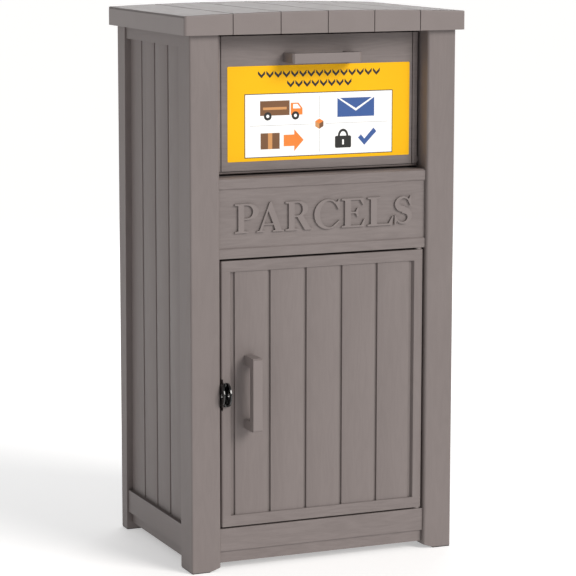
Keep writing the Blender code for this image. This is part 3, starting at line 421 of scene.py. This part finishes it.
def bar_row_tree():
    """Bars side by side along X that run up Z, with rounded long edges; a crown lifts the middle ones.

    It makes the planks, the lid's ribs and the cutters for seams, slots and grooves. Half Span is the
    distance at which the crown has fallen to nothing, and a flat row takes any value for it.
    """
    kinds = dict.fromkeys(
        ("Pitch", "Width", "Thickness", "Length", "Edge Radius", "Turn", "Crown", "Half Span"), "Float"
    )
    tree, size = geometry_tree("bar_row", {"Bars": "Int", **kinds, "Material": "Material"})
    gaps = add(tree, "ShaderNodeMath", {0: size["Bars"], 1: 1.0}, operation="SUBTRACT")
    span = add(tree, "ShaderNodeMath", {0: gaps.outputs[0], 1: size["Pitch"]}, operation="MULTIPLY")
    start = add(tree, "ShaderNodeMath", {0: span.outputs[0], 1: -0.5}, operation="MULTIPLY")
    first = add(tree, "ShaderNodeCombineXYZ", {"X": start.outputs[0]})
    step = add(tree, "ShaderNodeCombineXYZ", {"X": size["Pitch"]})
    line = add(
        tree,
        "GeometryNodeMeshLine",
        {"Count": size["Bars"], "Start Location": first.outputs[0], "Offset": step.outputs[0]},
    )
    place = add(tree, "GeometryNodeInputPosition")
    axes = add(tree, "ShaderNodeSeparateXYZ", {0: place.outputs[0]})
    share = add(tree, "ShaderNodeMath", {0: axes.outputs[0], 1: size["Half Span"]}, operation="DIVIDE")
    square = add(tree, "ShaderNodeMath", {0: share.outputs[0], 1: 2.0}, operation="POWER")
    fall = add(tree, "ShaderNodeMath", {0: 1.0, 1: square.outputs[0]}, operation="SUBTRACT")
    lift = add(tree, "ShaderNodeMath", {0: fall.outputs[0], 1: size["Crown"]}, operation="MULTIPLY")
    raised = add(tree, "ShaderNodeCombineXYZ", {"Y": lift.outputs[0]})
    points = add(
        tree,
        "GeometryNodeSetPosition",
        {"Geometry": line.outputs[0], "Offset": raised.outputs[0]},
    )
    outline = add(
        tree,
        "GeometryNodeCurvePrimitiveQuadrilateral",
        {"Width": size["Width"], "Height": size["Thickness"]},
    )
    rounded = add(
        tree,
        "GeometryNodeFilletCurve",
        {"Curve": outline.outputs[0], "Radius": size["Edge Radius"], "Count": 3},
        mode="POLY",
    )
    angle = add(tree, "ShaderNodeCombineXYZ", {"Z": size["Turn"]})
    turned = add(
        tree,
        "GeometryNodeTransform",
        {"Geometry": rounded.outputs[0], "Rotation": angle.outputs[0]},
    )
    top = add(tree, "ShaderNodeCombineXYZ", {"Z": size["Length"]})
    run = add(tree, "GeometryNodeCurvePrimitiveLine", {"End": top.outputs[0]})
    bar = add(
        tree,
        "GeometryNodeCurveToMesh",
        {"Curve": run.outputs[0], "Profile Curve": turned.outputs[0], "Fill Caps": True},
    )
    bars = add(
        tree,
        "GeometryNodeInstanceOnPoints",
        {"Points": points.outputs[0], "Instance": bar.outputs[0]},
    )
    return close_tree(tree, bars.outputs[0], size["Material"])


def pattern_row_tree():
    """Copies of one pattern at even steps, such as screws or printed arrows."""
    kinds = {"Pattern": "Object", "Count": "Int", "Step": "Vector", "Material": "Material"}
    tree, size = geometry_tree("pattern_row", kinds)
    line = add(tree, "GeometryNodeMeshLine", {"Count": size["Count"], "Offset": size["Step"]})
    shape = add(tree, "GeometryNodeObjectInfo", {"Object": size["Pattern"]})
    copies = add(
        tree,
        "GeometryNodeInstanceOnPoints",
        {"Points": line.outputs[0], "Instance": shape.outputs["Geometry"]},
    )
    return close_tree(tree, copies.outputs[0], size["Material"])


BAR_ROW = bar_row_tree()
PATTERN_ROW = pattern_row_tree()
FACING = {"front": 0.0, "left": -90.0, "right": 90.0, "back": 180.0}  # degrees about Z
LIE_DOWN = Matrix.Rotation(math.pi / 2, 4, "X")  # lays an upright row down, so that it runs forward


def planks(name, facing, middle, pitch, count, base, length, body, width=None):
    """Soft-shouldered planks on a panel that faces one way; middle is the row's middle on its face."""
    turn = Matrix.Rotation(math.radians(FACING[facing]), 4, "Z")
    sunk = Matrix.Translation((0.0, PLANK_SINK, 0.0))
    place = Matrix.Translation((middle[0], middle[1], base)) @ turn @ sunk
    data = grown(
        BAR_ROW,
        place,
        Bars=count,
        Pitch=pitch,
        Width=width or pitch - SEAM,
        Thickness=PLANK_THICKNESS,
        Length=length,
        Edge_Radius=PLANK_SHOULDER,
        Half_Span=1.0,
        Material=GRAIN_UPRIGHT,
    )
    return piece(name, data, [GRAIN_UPRIGHT], body, "resin")


# --- cabinet ------------------------------------------------------------------------------------
def posts_and_panels():
    """The fixed mouldings below the lid, with planks on the sides and the back."""
    for side in ("left", "right"):
        for end in ("front", "rear"):
            moulding(f"{end}_post_{side}", [GRAIN_UPRIGHT], "cabinet", "resin", 2.6 * MM, 4)
            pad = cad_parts[f"foot_pad_{end}_{side}"]
            pad.data.materials.clear()
            pad.data.materials.append(PAD)

    def rail(centre):
        return centre.z > SIDE_RAIL_TOP_BOTTOM or centre.z < SIDE_RAIL_LOW_TOP

    low = SIDE_RAIL_LOW_TOP
    length = SIDE_RAIL_TOP_BOTTOM - low
    for side, sign in (("left", -1), ("right", 1)):
        panel = f"side_panel_{side}"
        moulding(panel, [GRAIN_UPRIGHT, GRAIN_DEEP], "cabinet", "resin", 1.0 * MM, second=rail)
        middle = (sign * SIDE_PLANK_X, SIDE_PLANK_MIDDLE)
        planks(f"side_planks_{side}", side, middle, SIDE_PLANK_PITCH, 3, low, length, "cabinet")
    moulding("back_panel", [GRAIN_UPRIGHT, GRAIN_LEVEL], "cabinet", "resin", 1.0 * MM, second=rail)
    planks("back_planks", "back", (0.0, BACK_PLANK_Y), BACK_PLANK_PITCH, 5, low, length, "cabinet")
    moulding("floor_panel", [INNER], "cabinet", "resin_inner", 1.0 * MM)

    # The raised letters' front faces take the paler satin finish: the resin's own colour lifted by a
    # painted highlight that sets them off against the grained field.
    def letter_face_painted_light(centre):
        return LETTER_BAND[0] < centre.z < LETTER_BAND[1] and centre.y < LETTER_FIELD_Y - 1.0 * MM

    moulding("letter_panel", [GRAIN_LEVEL, SATIN_WITH_PAINTED_LIGHT], "cabinet", "resin", 0.5 * MM, 2, letter_face_painted_light)
    moulding("bottom_rail", [GRAIN_LEVEL], "cabinet", "resin", 1.0 * MM)


CORNER_RADIUS = 6 * MM
TOP_EDGE_RADIUS = 2.2 * MM
CROWN_STEPS = 24
OVERRUN = 0.02  # how far the lid's cutters start and end outside it
CORE_HEIGHT = 0.2
RIB_HEIGHT = 11 * MM


def crowned_block(low, high, edge_top):
    """The lid's outside: a crowned top, rounded corners and a softened top edge."""
    half = high.x
    outline = [(-half, low.z)]
    for step in range(CROWN_STEPS + 1):
        x = -half + 2 * half * step / CROWN_STEPS
        outline.append((x, edge_top + LID_CROWN * (1 - (x / half) ** 2)))
    outline.append((half, low.z))
    mesh = bmesh.new()
    slab(mesh, outline, low.y, high.y)
    bmesh.ops.recalc_face_normals(mesh, faces=mesh.faces[:])
    corners = [e for e in mesh.edges if abs(e.verts[0].co.z - e.verts[1].co.z) > 0.03]
    bmesh.ops.bevel(mesh, geom=corners, offset=CORNER_RADIUS, segments=5, profile=0.5, affect="EDGES")

    def top_edge(edge):
        if edge.calc_length() < 1e-6 or len(edge.link_faces) != 2:
            return False
        first, second = (face.normal for face in edge.link_faces)
        return max(first.z, second.z) > 0.9 and min(abs(first.z), abs(second.z)) < 0.1

    edges = [e for e in mesh.edges if top_edge(e)]
    bmesh.ops.bevel(mesh, geom=edges, offset=TOP_EDGE_RADIUS, segments=3, profile=0.5, affect="EDGES")
    return plain_mesh(mesh, "lid_blank")


def lid_cutters(low, high, edge_top):
    """Crowned seams, slots down the front and back faces, the hollow, and a fine line along each side."""
    half = high.x
    depth = high.y - low.y
    seams = {"Bars": LID_PLANKS - 1, "Pitch": 2 * half / LID_PLANKS, "Half_Span": half}
    notch = grown(
        BAR_ROW,
        Matrix.Translation((0.0, high.y + OVERRUN, edge_top)) @ LIE_DOWN,
        **seams,
        Crown=LID_CROWN,
        Width=3.2 * MM,
        Thickness=3.2 * MM,
        Length=depth + 2 * OVERRUN,
        Turn=math.pi / 4,
        Edge_Radius=0.3 * MM,
    )
    cutters = [notch]
    for y in (low.y, high.y):
        slot = grown(
            BAR_ROW,
            Matrix.Translation((0.0, y, low.z - 10 * MM)),
            **seams,
            Width=1.9 * MM,
            Thickness=5.6 * MM,
            Length=0.08,
            Edge_Radius=0.4 * MM,
        )
        cutters.append(slot)
    hollow = bmesh.new()
    bmesh.ops.create_cube(hollow, size=1.0)
    stretch = Matrix.Diagonal((2 * (half - LID_WALL), depth - 2 * LID_WALL, CORE_HEIGHT, 1.0))
    middle = (0.0, (low.y + high.y) / 2, edge_top - LID_WALL - CORE_HEIGHT / 2)
    hollow.transform(Matrix.Translation(middle) @ stretch)
    cutters.append(plain_mesh(hollow, "hollow"))
    line = grown(
        BAR_ROW,
        Matrix.Translation((0.0, high.y + OVERRUN, edge_top - 3.1 * MM)) @ LIE_DOWN,
        Bars=2,
        Pitch=2 * half,
        Half_Span=1.0,
        Width=3.0 * MM,
        Thickness=1.5 * MM,
        Length=depth + 2 * OVERRUN,
        Edge_Radius=0.2 * MM,
    )
    cutters.append(line)
    return cutters


def lid():
    """Crowned lid, scored into planks by cutters that follow its crown, with ribs under it."""
    low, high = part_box("lid")
    edge_top = high.z - LID_CROWN
    data = carved(crowned_block(low, high, edge_top), lid_cutters(low, high, edge_top))
    finished = bmesh.new()
    finished.from_mesh(data)
    for face in finished.faces:
        face.material_index = 0 if face.normal.z > 0.5 else 1
    made = piece("lid_moulding", finished, [GRAIN_DEEP, SATIN_WITH_PAINTED_LIGHT], "cabinet", "resin", "lid")
    soften(made, 0.45 * MM, 2, 35)
    start = (0.0, high.y - LID_WALL + 1 * MM, edge_top - LID_WALL - RIB_HEIGHT / 2)
    ribs = grown(
        BAR_ROW,
        Matrix.Translation(start) @ LIE_DOWN,
        Bars=LID_PLANKS - 1,
        Pitch=2 * high.x / LID_PLANKS,
        Half_Span=1.0,
        Width=2.5 * MM,
        Thickness=RIB_HEIGHT,
        Length=high.y - low.y - 2 * LID_WALL + 2 * MM,
        Edge_Radius=0.5 * MM,
        Material=INNER,
    )
    piece("lid_ribs", ribs, [INNER], "cabinet", "resin")


# --- doors --------------------------------------------------------------------------------------
def doors():
    """Both doors, with five planks on the lower one and two upright grooves on the upper one."""
    base, top = DOOR_FIELD
    length = top - base
    body = "retrieval_door"

    def rail(centre):
        return centre.y < DOOR_PLANK_Y - 0.5 * MM and not base < centre.z < top

    moulding("door_panel", [GRAIN_UPRIGHT, GRAIN_LEVEL], body, "resin", 1.2 * MM, 3, rail, DOOR_FIELD)
    middle = (0.0, DOOR_PLANK_Y)
    planks("door_planks", "front", middle, DOOR_PLANK_PITCH, 3, base, length, body)
    inner_edge = 1.5 * DOOR_PLANK_PITCH + SEAM / 2
    end_pitch = DOOR_PLANKS_HALF_WIDTH + inner_edge
    end_width = DOOR_PLANKS_HALF_WIDTH - inner_edge
    planks("door_end_planks", "front", middle, end_pitch, 2, base, length, body, end_width)
    # The handle bar's paler satin tone is partly painted light, making it read brighter than the door face
    # behind it.
    moulding("door_handle", [SATIN_WITH_PAINTED_LIGHT], "retrieval_door", "resin", 3.0 * MM, 4)
    grooves = grown(
        BAR_ROW,
        Matrix.Translation((0.0, DROP_FACE_Y + 1.5 * MM, DROP_GROOVE_Z)),
        Bars=2,
        Pitch=DROP_GROOVE_SPAN,
        Half_Span=1.0,
        Width=2.0 * MM,
        Thickness=5.0 * MM,
        Length=0.30,
        Edge_Radius=0.2 * MM,
    )
    moulding("drop_door_panel", [GRAIN_LEVEL], "drop_door", "resin", 0.4 * MM, 2, cutters=[grooves])
    # The same paler satin tone, partly painted light, lifts this handle bar off the drop door.
    moulding("drop_door_handle", [SATIN_WITH_PAINTED_LIGHT], "drop_door", "resin", 3.0 * MM, 4)
    for node in ("drop_tray", "tray_cheek_left", "tray_cheek_right"):
        moulding(node, [INNER], "drop_door", "resin_inner", 0.9 * MM)


# --- metal fittings -----------------------------------------------------------------------------
# Sizes of the screw pattern, in millimetres
SCREW_HEAD_WIDTH = 7.6
SCREW_HEAD_HEIGHT = 2.4
SCREW_LENGTH = 13.9


def pan_head_screw():
    """Pattern of a pan-head screw with a cross recess.

    The underside of the head is at the origin and the shank runs up Z.
    """
    profile = [(-2.4, 0.0), (-2.4, 1.6), (-2.1, 2.6), (-1.5, 3.4), (-0.8, 3.8), (0.0, 3.8)]
    profile += [(0.0, 1.9), (9.5, 1.9), (11.5, 0.6), (11.5, 0.0)]  # height and radius, in millimetres
    mesh = bmesh.new()
    previous = mesh.verts.new((0.0, 0.0, profile[0][0] * MM))
    for height, radius in profile[1:]:
        vertex = mesh.verts.new((radius * MM, 0.0, height * MM))
        mesh.edges.new((previous, vertex))
        previous = vertex
    bmesh.ops.spin(
        mesh,
        geom=mesh.verts[:] + mesh.edges[:],
        axis=(0, 0, 1),
        cent=(0, 0, 0),
        angle=2 * math.pi,
        steps=20,
        use_merge=True,
    )
    bmesh.ops.remove_doubles(mesh, verts=mesh.verts[:], dist=0.001 * MM)
    bmesh.ops.recalc_face_normals(mesh, faces=mesh.faces[:])
    slots = []
    for turn in (0, 90):
        slot = bmesh.new()
        bmesh.ops.create_cube(slot, size=1.0)
        spin = Matrix.Rotation(math.radians(turn), 4, "Z")
        stretch = Matrix.Diagonal((4 * MM, 0.8 * MM, 2.4 * MM, 1))
        slot.transform(spin @ Matrix.Translation((0, 0, -2.4 * MM)) @ stretch)
        slots.append(plain_mesh(slot, "recess"))
    return placed("screw_pattern", carved(plain_mesh(mesh, "screw_pattern"), slots))


def screws():
    """Each pair of screws is one row; the pattern is scaled to the drawn head and turned to its wall."""
    pattern = pan_head_screw()
    # name, nodes, body, the axis that the screws lie along, and the way from head to tip along it
    rows = (
        ("door_handle_screws", ("door_handle_screw_1", "door_handle_screw_2"), "retrieval_door", 1, -1),
        ("door_eye_screws", ("door_eye_screw_1", "door_eye_screw_2"), "retrieval_door", 1, 1),
        ("frame_eye_screws", ("frame_eye_screw_1", "frame_eye_screw_2"), "cabinet", 0, -1),
        ("drop_handle_screws", ("drop_handle_screw_left", "drop_handle_screw_right"), "drop_door", 1, -1),
    )
    for name, nodes, body, axis, way in rows:
        boxes = [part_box(node) for node in nodes]
        low, high = boxes[0]
        middle = (low + high) / 2
        step = (boxes[1][0] + boxes[1][1]) / 2 - middle
        size = (high.z - low.z) / (SCREW_HEAD_WIDTH * MM)
        length = (high[axis] - low[axis]) / (SCREW_LENGTH * MM)
        start = middle.copy()
        start[axis] = (low[axis] if way > 0 else high[axis]) + way * SCREW_HEAD_HEIGHT * MM * length
        direction = Vector((0, 0, 0))
        direction[axis] = way
        aim = direction.to_track_quat("Z", "X").to_matrix().to_4x4()
        place = Matrix.Translation(start) @ aim @ Matrix.Diagonal((size, size, length, 1))
        local_step = place.to_3x3().inverted() @ step
        coat = ENAMEL if "eye" in name else ZINC
        data = grown(PATTERN_ROW, place, Pattern=pattern, Count=2, Step=local_step, Material=coat)
        piece(name, data, [coat], body, "zinc_steel", *nodes)
    bpy.data.objects.remove(pattern)


def fittings():
    """The padlock eyes, and finishes for the hinge pins and bushes, which keep their CAD shape."""
    moulding("frame_lock_eye", [ENAMEL], "cabinet", "black_enamel", 0.9 * MM)
    moulding("door_lock_eye", [ENAMEL], "retrieval_door", "black_enamel", 0.7 * MM)
    for node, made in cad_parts.items():
        if "_pin_" in node or "_bush_" in node:
            made.data.materials.clear()
            made.data.materials.append(ZINC if "_pin_" in node else SATIN_WITH_PAINTED_LIGHT)


# --- label --------------------------------------------------------------------------------------
# How far each layer of print stands out, as a share of the sheet's thickness
BORDER, FRAME_LINE, FIELD, SHAPE, OVERPRINT, HUB = 0.55, 0.65, 0.75, 0.85, 0.95, 1.0
PICTOGRAM = 1.28 * MM  # one unit of the pictograms' outlines
WHITE_FIELD = (-0.1585, 0.164, 0.834, 0.959)  # left, right, bottom and top
FIELD_LINE = 1.6 * MM  # black line round the white field
CROSS_LINE = 0.7 * MM  # grey lines that part the four pictograms
ARROW_ROWS = ((15, 0.9985), (8, 0.9785))  # how many arrows, and the row's height
ARROW_STEP = 18.0 * MM


def arc(middle, radius_x, radius_z, angles):
    """Points on an ellipse at these angles, in degrees."""
    turns = [math.radians(angle) for angle in angles]
    return [(middle[0] + radius_x * math.cos(t), middle[1] + radius_z * math.sin(t)) for t in turns]


def rectangle(left, right, bottom, top):
    """Outline of a plain rectangle."""
    return [(left, bottom), (right, bottom), (right, top), (left, top)]


def rounded_rectangle(left, right, bottom, top, radius, steps=4):
    """Outline of a rectangle with round corners."""
    corners = ((right - radius, top - radius, 0), (left + radius, top - radius, 90))
    corners += ((left + radius, bottom + radius, 180), (right - radius, bottom + radius, 270))
    points = []
    for x, z, start in corners:
        points += arc((x, z), radius, radius, [start + 90 * step / steps for step in range(steps + 1)])
    return points


def lorry():
    """A pictogram's shapes from the bottom layer up: outline, layer and ink."""
    wheels = []
    for x in (-25, 22):
        for radius, layer, ink in ((6.5, OVERPRINT, INK), (2.6, HUB, WHITE)):
            disc = rounded_rectangle(x - radius, x + radius, -10 - radius, -10 + radius, radius, 6)
            wheels.append((disc, layer, ink))
    return [
        (rectangle(-38, 12, -9, 14), SHAPE, BROWN_INK),
        (rectangle(-33, 7, 0, 4), OVERPRINT, TAN_INK),
        ([(14, -9), (34, -9), (34, 1), (27, 10), (14, 10)], SHAPE, ORANGE_INK),
        ([(18, 1), (31, 1), (25.5, 8), (18, 8)], OVERPRINT, WHITE),
        *wheels,
    ]


def envelope():
    flap = [(-32, 15), (-28, 15), (0, -2), (28, 15), (32, 15), (0, -6)]
    return [(rectangle(-32, 32, -15, 15), SHAPE, BLUE_INK), (flap, OVERPRINT, WHITE)]


def parcel():
    return [(rectangle(-9, 9, -7, 7), SHAPE, BROWN_INK), (rectangle(-2, 2, -7, 7), OVERPRINT, TAN_INK)]


def arrow():
    return [([(2, 9), (20, 9), (20, 17), (36, 0), (20, -17), (20, -9), (2, -9)], SHAPE, ORANGE_INK)]


def padlock_and_tick():
    shackle = arc((-22, 4), 9, 11, range(0, 181, 12)) + arc((-22, 4), 5.5, 7, range(180, -1, -12))
    return [
        (rounded_rectangle(-36, -8, -15, 4, 2.5), SHAPE, INK),
        (shackle, SHAPE, INK),
        (rectangle(-23.5, -20.5, -10, -2), OVERPRINT, WHITE),
        ([(4, 0), (9, 5), (15, -2), (31, 15), (36, 9), (15, -12)], SHAPE, BLUE_INK),
    ]


def cube():
    return [
        ([(0, -11), (9.5, -5.5), (9.5, 5.5), (0, 0)], SHAPE, BROWN_INK),
        ([(0, -11), (0, 0), (-9.5, 5.5), (-9.5, -5.5)], SHAPE, TAN_INK),
        ([(0, 0), (9.5, 5.5), (0, 11), (-9.5, 5.5)], SHAPE, ORANGE_INK),
    ]


def label():
    """Printed sheet: a yellow border with two rows of arrows, and four pictograms on a white field."""
    low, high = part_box("label")
    thickness = high.y - low.y
    mesh = bmesh.new()
    finishes = [YELLOW, WHITE, INK, GREY_INK, BLUE_INK, BROWN_INK, TAN_INK, ORANGE_INK]

    def printed(shapes, centre=(0.0, 0.0), size=1.0):
        """Each shape is a thin layer of ink, down to the back of the sheet."""
        for outline, layer, ink in shapes:
            points = [(centre[0] + x * size, centre[1] + z * size) for x, z in outline]
            for face in slab(mesh, points, high.y - thickness * layer, high.y):
                face.material_index = finishes.index(ink)

    left, right, bottom, top = WHITE_FIELD
    line = (left - FIELD_LINE, right + FIELD_LINE, bottom - FIELD_LINE, top + FIELD_LINE)
    printed([
        (rounded_rectangle(low.x, high.x, low.z, high.z, 2.5 * MM), BORDER, YELLOW),
        (rounded_rectangle(*line, 0.6 * MM), FRAME_LINE, INK),
        (rounded_rectangle(*WHITE_FIELD, 0.5 * MM), FIELD, WHITE),
    ])
    x, z = (left + right) / 2, (bottom + top) / 2
    half = CROSS_LINE / 2
    for start, end in ((bottom + 6 * MM, z - 13 * MM), (z + 13 * MM, top - 6 * MM)):
        printed([(rounded_rectangle(x - half, x + half, start, end, 0.1 * MM), SHAPE, GREY_INK)])
    for start, end in ((left + 10 * MM, x - 14 * MM), (x + 14 * MM, right - 10 * MM)):
        printed([(rounded_rectangle(start, end, z - half, z + half, 0.1 * MM), SHAPE, GREY_INK)])
    printed(cube(), (x, z), 0.95 * MM)
    across, up = (right - left) / 4, (top - bottom) / 4
    printed(lorry(), (x - across, z + up), PICTOGRAM)
    printed(envelope(), (x + across, z + up), PICTOGRAM)
    printed(parcel(), (x - across - 21 * PICTOGRAM, z - up), 2.3 * MM)
    printed(arrow(), (x - across, z - up), PICTOGRAM)
    printed(padlock_and_tick(), (x + across, z - up), PICTOGRAM)
    bmesh.ops.recalc_face_normals(mesh, faces=mesh.faces[:])
    piece("label_print", mesh, finishes, "drop_door", "label_vinyl", "label")
    label_arrows(x, low.y + 0.12 * MM)


def label_arrows(middle, front):
    """Two rows of plain arrows that point down, above the white field."""
    outline = [(0, -7.2), (7.6, 0.9), (7.6, 7.2), (0, -0.9), (-7.6, 7.2), (-7.6, 0.9)]
    chevron = bmesh.new()
    slab(chevron, [(x * MM, z * MM) for x, z in outline], -0.1 * MM, 0.2 * MM)
    bmesh.ops.recalc_face_normals(chevron, faces=chevron.faces[:])
    pattern = placed("arrow_pattern", plain_mesh(chevron, "arrow_pattern"))
    step = (ARROW_STEP, 0.0, 0.0)
    for number, (count, height) in enumerate(ARROW_ROWS, 1):
        start = Matrix.Translation((middle - (count - 1) * ARROW_STEP / 2, front, height))
        row = grown(PATTERN_ROW, start, Pattern=pattern, Count=count, Step=step, Material=INK)
        piece(f"label_arrows_{number}", row, [INK], "drop_door", "label_vinyl")
    bpy.data.objects.remove(pattern)


# --- stage --------------------------------------------------------------------------------------
FLOOR_REACH = 60.0
KEY_DIRECTION = Vector((-0.60, 1.0, -0.62))  # the way its light travels
RIM_PLACE = Vector((1.6, 3.9, 2.6))
RIM_AIM = Vector((0.0, 0.0, 1.0))
CAMERA_PLACE = (-2.0221, -4.7440, 1.3588)
CAMERA_TURN = -23.13  # degrees about Z
CAMERA_DOWN = 9.05  # degrees below the level
CAMERA_ROLL = 0.05  # degrees about its own axis


def studio():
    """Pale floor, white surroundings, a large soft key from the front right, a rim light, the camera."""
    reach = FLOOR_REACH
    corners = [(-reach, -reach, 0), (reach, -reach, 0), (reach, reach, 0), (-reach, reach, 0)]
    floor_mesh = bpy.data.meshes.new("floor")
    floor_mesh.from_pydata(corners, [], [(0, 1, 2, 3)])
    paper = finish(
        "matt_paper_sweep",
        Roughness=0.9,
        Base_Color=srgb("F8F8F8"),
        Emission_Color=srgb("FFFFFF"),
        Emission_Strength=0.40,
    )
    floor_mesh.materials.append(paper[0])
    floor = placed("floor", floor_mesh)

    world = bpy.data.worlds.new("studio")
    world.use_nodes = True
    sky = world.node_tree.nodes["Background"]
    sky.inputs["Color"].default_value = (1.0, 1.0, 1.0, 1.0)
    ray = add(world.node_tree, "ShaderNodeLightPath").outputs["Is Camera Ray"]
    strength = add(world.node_tree, "ShaderNodeMapRange", {0: ray, 3: 0.33, 4: 1.0})
    world.node_tree.links.new(strength.outputs[0], sky.inputs["Strength"])
    bpy.context.scene.world = world

    key = bpy.data.lights.new("key", "SUN")
    key.energy = 2.25
    key.angle = math.radians(30)
    key.color = srgb("FFFBF7")[:3]
    placed("key", key).rotation_euler = KEY_DIRECTION.to_track_quat("-Z", "Y").to_euler()

    rim = bpy.data.lights.new("rim", "AREA")
    rim.shape = "RECTANGLE"
    rim.size = 4.0
    rim.size_y = 2.4
    rim.energy = 66.0
    panel = placed("rim", rim)
    panel.location = RIM_PLACE
    panel.rotation_euler = (RIM_AIM - RIM_PLACE).to_track_quat("-Z", "Y").to_euler()
    panel.visible_camera = False

    camera = bpy.data.cameras.new("camera")
    camera.lens = 155.7
    camera.sensor_width = 36.0
    camera.clip_end = 200.0
    seen_from = placed("camera", camera)
    turn = Matrix.Rotation(math.radians(CAMERA_TURN), 4, "Z")
    tilt = Matrix.Rotation(math.radians(90 - CAMERA_DOWN), 4, "X")
    roll = Matrix.Rotation(math.radians(CAMERA_ROLL), 4, "Z")
    seen_from.matrix_world = Matrix.Translation(CAMERA_PLACE) @ turn @ tilt @ roll
    bpy.context.scene.camera = seen_from
    bpy.context.scene.view_settings.view_transform = "Standard"


posts_and_panels()
lid()
doors()
screws()
fittings()
label()
studio()
